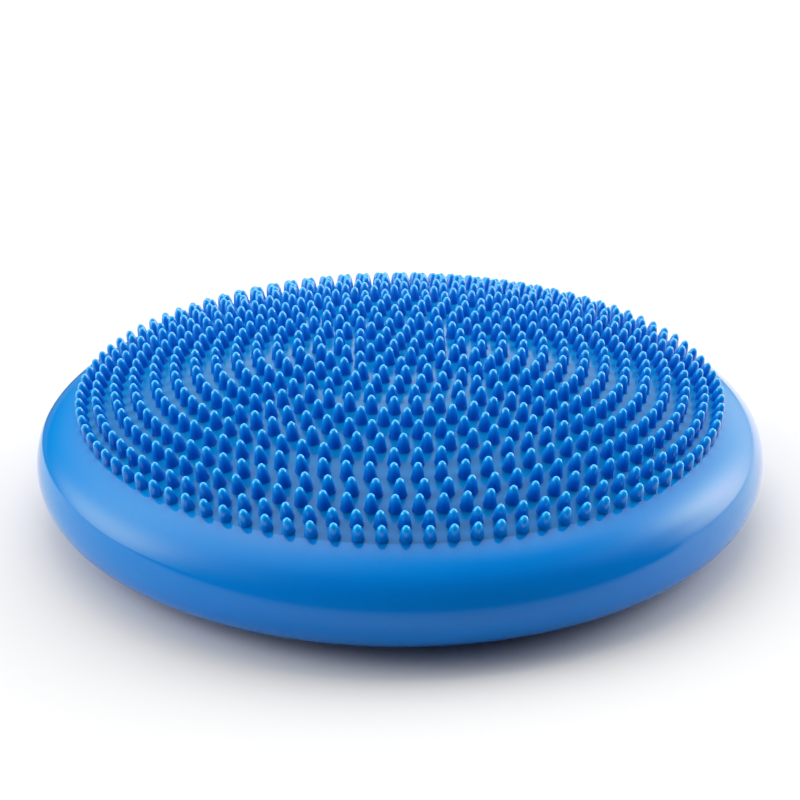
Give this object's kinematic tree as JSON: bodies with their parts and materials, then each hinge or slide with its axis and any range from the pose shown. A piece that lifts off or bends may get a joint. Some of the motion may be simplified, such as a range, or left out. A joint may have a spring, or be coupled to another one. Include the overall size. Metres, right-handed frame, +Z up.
{
  "type": "wobble cushion",
  "caption": "Round inflatable balance disc with a domed massage-knob top, smooth bulging rim, studded flat base and a needle valve with a pull-out plug.",
  "frame": {"origin": "centre of the base on the floor, under the centre knob", "axes": "+Z up along the disc's axis; +Y points away from the viewer, towards the side that carries the valve"},
  "size_m": [0.335, 0.335, 0.0798],
  "materials": {
    "vinyl_rim": "glossy blue vinyl",
    "vinyl_knobs": "glossy blue vinyl, moulded in knobs",
    "vinyl_base": "satin blue vinyl with grip studs",
    "valve_vinyl": "satin dark blue",
    "valve_rubber": "matt black rubber"
  },
  "bodies": {
    "base": {"base_face": "vinyl_base", "lower_sidewall": "vinyl_rim"},
    "middle": {"equator_belt": "vinyl_rim", "upper_sidewall": "vinyl_rim", "valve_collar": "valve_vinyl", "valve_core": "valve_rubber"},
    "shoulder": {"shoulder_hoop": "vinyl_rim", "shoulder_web": "vinyl_rim"},
    "top": {"top_face": "vinyl_knobs"},
    "plug": {"valve_plug": "valve_vinyl"}
  },
  "joints": [
    {"name": "rock_fore_aft", "type": "hinge", "parent": "base", "child": "middle", "pos_m": [0, 0, 0.012], "axis": [1, 0, 0], "range_deg": [-4, 4], "stiffness_Nm_per_rad": 120, "deforming": ["lower_sidewall"]},
    {"name": "rock_sideways", "type": "hinge", "parent": "middle", "child": "shoulder", "pos_m": [0, 0, 0.033], "axis": [0, 1, 0], "range_deg": [-4, 4], "stiffness_Nm_per_rad": 120, "deforming": ["upper_sidewall"]},
    {"name": "seat_sink", "type": "slide", "parent": "shoulder", "child": "top", "axis": [0, 0, -1], "range_m": [0, 0.01], "stiffness_N_per_m": 6000, "deforming": ["shoulder_web"]},
    {"name": "plug_pull", "type": "slide", "parent": "middle", "child": "plug", "axis": [-0.5, 0.866, 0], "range_m": [0, 0.012]}
  ]
}
